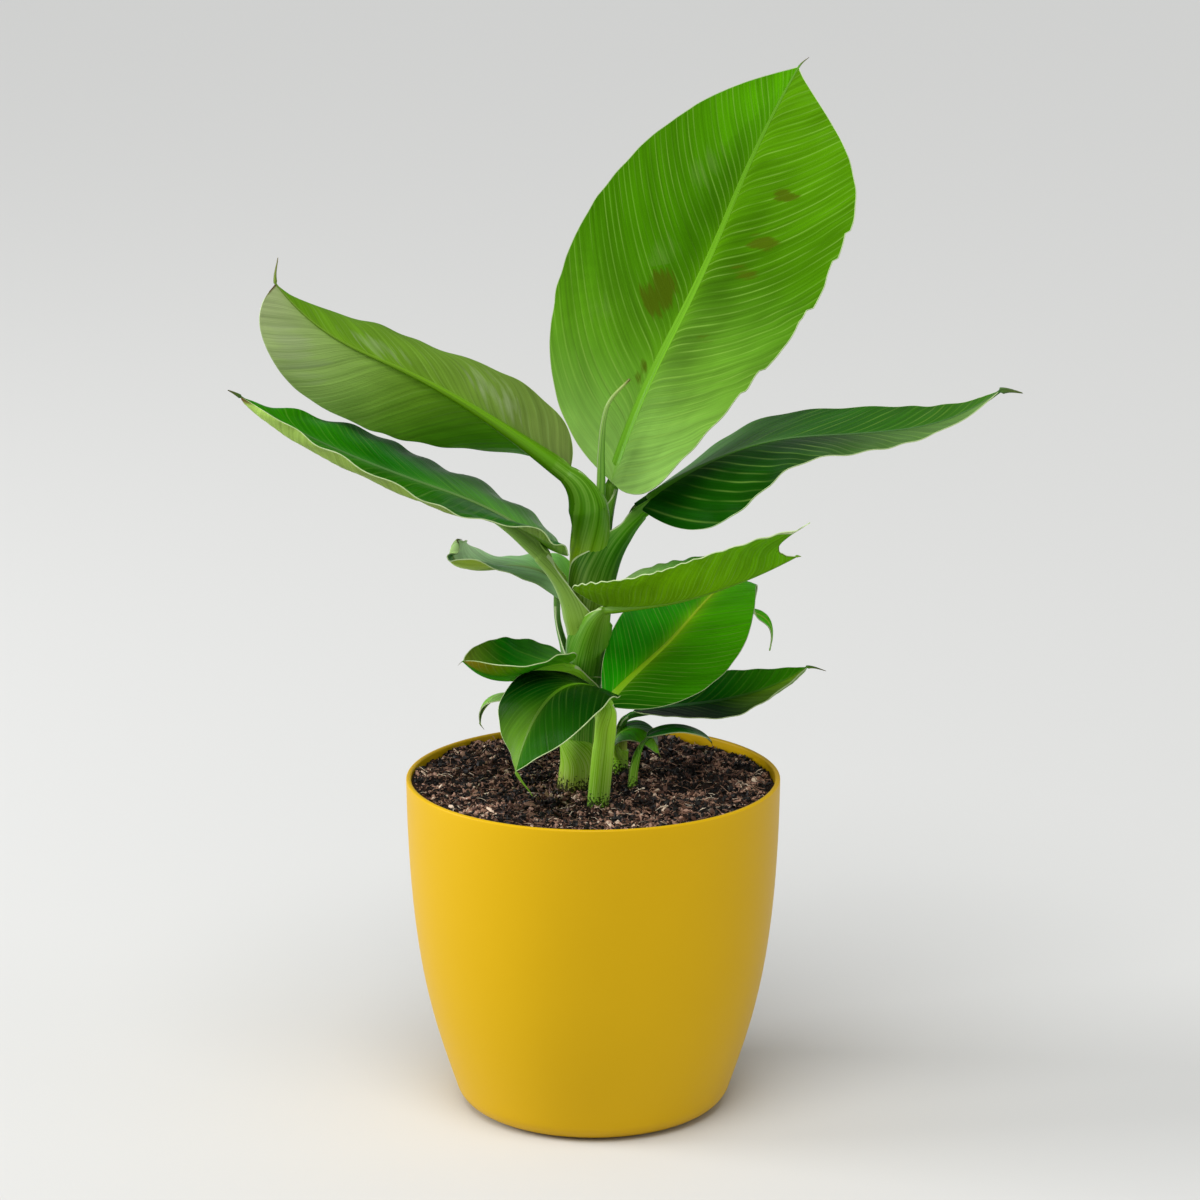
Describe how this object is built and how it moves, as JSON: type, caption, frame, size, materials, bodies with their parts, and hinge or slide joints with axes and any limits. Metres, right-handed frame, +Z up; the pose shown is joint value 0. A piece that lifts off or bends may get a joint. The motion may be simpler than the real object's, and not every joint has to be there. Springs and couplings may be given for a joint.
{
  "type": "potted banana plant",
  "caption": "Young dwarf banana plant with broad leaves on wrapped stalks, with suckers beside its stem, in a plain round tapered pot filled with soil.",
  "frame": {"origin": "centre of the pot's flat underside", "axes": "+Z up along the pot's axis; -Y is the front, towards the front sucker; +X is to the right, towards the right leaf"},
  "size_m": [0.4485, 0.221, 0.6148],
  "materials": {
    "pot_plastic": "smooth satin moulded plastic, warm yellow",
    "potting_soil": "loose fibrous dark brown peat soil",
    "stem": "smooth pale green wrapped leaf sheaths with lengthwise ribs",
    "leaf_stalk": "smooth waxy green stalk with pale edges",
    "leaf_blade": "satin green leaf with fine side veins and a pale rib"
  },
  "bodies": {
    "root": {"pot": "pot_plastic", "soil": "potting_soil", "rolled_leaf": "leaf_blade", "main_stem": "stem", "front_sucker_stem": "stem", "rear_sucker_stem": "stem", "small_sucker_stem": "stem", "top_leaf_stalk": "leaf_stalk", "top_leaf_blade": "leaf_blade", "upper_left_leaf_stalk": "leaf_stalk", "upper_left_leaf_blade": "leaf_blade", "middle_left_leaf_stalk": "leaf_stalk", "middle_left_leaf_blade": "leaf_blade", "rear_left_leaf_stalk": "leaf_stalk", "rear_left_leaf_blade": "leaf_blade", "right_leaf_stalk": "leaf_stalk", "right_leaf_blade": "leaf_blade", "front_right_leaf_stalk": "leaf_stalk", "front_right_leaf_blade": "leaf_blade", "lower_left_leaf_stalk": "leaf_stalk", "lower_left_leaf_blade": "leaf_blade", "rear_low_leaf_stalk": "leaf_stalk", "rear_low_leaf_blade": "leaf_blade", "round_sucker_leaf_stalk": "leaf_stalk", "round_sucker_leaf_blade": "leaf_blade", "hanging_sucker_leaf_stalk": "leaf_stalk", "hanging_sucker_leaf_blade": "leaf_blade", "long_sucker_leaf_stalk": "leaf_stalk", "long_sucker_leaf_blade": "leaf_blade", "arched_sucker_leaf_stalk": "leaf_stalk", "arched_sucker_leaf_blade": "leaf_blade", "small_sucker_leaf_stalk": "leaf_stalk", "small_sucker_leaf_blade": "leaf_blade"}
  },
  "joints": []
}
